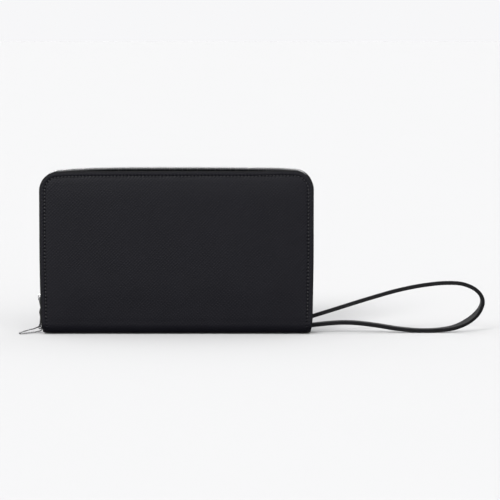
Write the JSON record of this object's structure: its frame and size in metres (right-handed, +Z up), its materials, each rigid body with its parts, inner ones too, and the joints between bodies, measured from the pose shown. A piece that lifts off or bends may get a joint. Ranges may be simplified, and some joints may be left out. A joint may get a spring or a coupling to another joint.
{
  "type": "long wallet",
  "caption": "Black leather zip-around long wallet with card slots, a zipped coin pocket and a wrist strap; its covers swing open and its zips slide.",
  "frame": {"origin": "centre of the flat underside of the spine, on the surface that the wallet stands on", "axes": "+X along the wallet towards the wrist strap, +Y towards the back cover, +Z up; the front cover faces -Y"},
  "size_m": [0.3582, 0.0295, 0.128],
  "materials": {
    "outer_leather": "fine grained, semi-matt",
    "slot_leather": "smooth, semi-matt",
    "lining_cloth": "plain woven, matt",
    "stiffener_card": "matt",
    "zip_tape": "twill, matt",
    "silver_teeth": "polished",
    "silver_hardware": "polished"
  },
  "bodies": {
    "spine": {"coin_pocket_back_wall": "slot_leather", "coin_pocket_front_wall": "slot_leather", "coin_pocket_gusset": "lining_cloth", "coin_zip_back_tape": "zip_tape", "coin_zip_back_teeth": "silver_teeth", "coin_zip_front_tape": "zip_tape", "coin_zip_front_teeth": "silver_teeth", "gusset_back_left": "lining_cloth", "gusset_back_right": "lining_cloth", "gusset_front_left": "lining_cloth", "gusset_front_right": "lining_cloth", "spine_leather": "outer_leather", "spine_lining": "lining_cloth", "strap_anchor_tab": "outer_leather", "wrist_strap": "outer_leather"},
    "front": {"front_card_slot_1": "slot_leather", "front_card_slot_2": "slot_leather", "front_card_slot_3": "slot_leather", "front_cover": "outer_leather", "front_lining": "lining_cloth", "front_stiffener_board": "stiffener_card", "front_zip_tape": "zip_tape", "front_zip_teeth": "silver_teeth", "front_zip_top_stop": "silver_teeth"},
    "back": {"back_card_slot_1": "slot_leather", "back_card_slot_2": "slot_leather", "back_card_slot_3": "slot_leather", "back_cover": "outer_leather", "back_lining": "lining_cloth", "back_stiffener_board": "stiffener_card", "back_zip_tape": "zip_tape", "back_zip_teeth": "silver_teeth", "back_zip_top_stop": "silver_teeth", "zip_bottom_stop": "silver_teeth"},
    "slider": {"zip_slider": "silver_hardware", "zip_slider_bridge": "silver_hardware"},
    "thong": {"pull_thong": "outer_leather"},
    "puller": {"pull_bar": "silver_hardware"},
    "coin_slide": {"coin_slider": "silver_hardware", "coin_slider_bridge": "silver_hardware"},
    "coin_tab": {"coin_pull": "silver_hardware"}
  },
  "joints": [
    {"name": "front_cover_open", "type": "hinge", "parent": "spine", "child": "front", "pos_m": [0, -0.014, 0.00835], "axis": [1, 0, 0], "range_deg": [0, 40], "deforming": ["gusset_front_left", "gusset_front_right"]},
    {"name": "back_cover_open", "type": "hinge", "parent": "spine", "child": "back", "pos_m": [0, 0.014, 0.00835], "axis": [1, 0, 0], "range_deg": [-40, 0], "deforming": ["gusset_back_left", "gusset_back_right"]},
    {"name": "zip_slider_run", "type": "slide", "parent": "back", "child": "slider", "axis": [0, 0, 1], "range_m": [0, 0.07]},
    {"name": "pull_thong_swing", "type": "hinge", "parent": "slider", "child": "thong", "pos_m": [-0.10575, 0, 0.0274], "axis": [0, 1, 0], "range_deg": [0, 100]},
    {"name": "pull_bar_swing", "type": "hinge", "parent": "thong", "child": "puller", "pos_m": [-0.10575, 0, 0.0049], "axis": [-0.7071, 0.7071, 0], "range_deg": [-70, 15]},
    {"name": "coin_slider_run", "type": "slide", "parent": "spine", "child": "coin_slide", "axis": [1, 0, 0], "range_m": [0, 0.15]},
    {"name": "coin_pull_swing", "type": "hinge", "parent": "coin_slide", "child": "coin_tab", "pos_m": [-0.078, 0, 0.1002], "axis": [0, 1, 0], "range_deg": [-175, 0]}
  ]
}
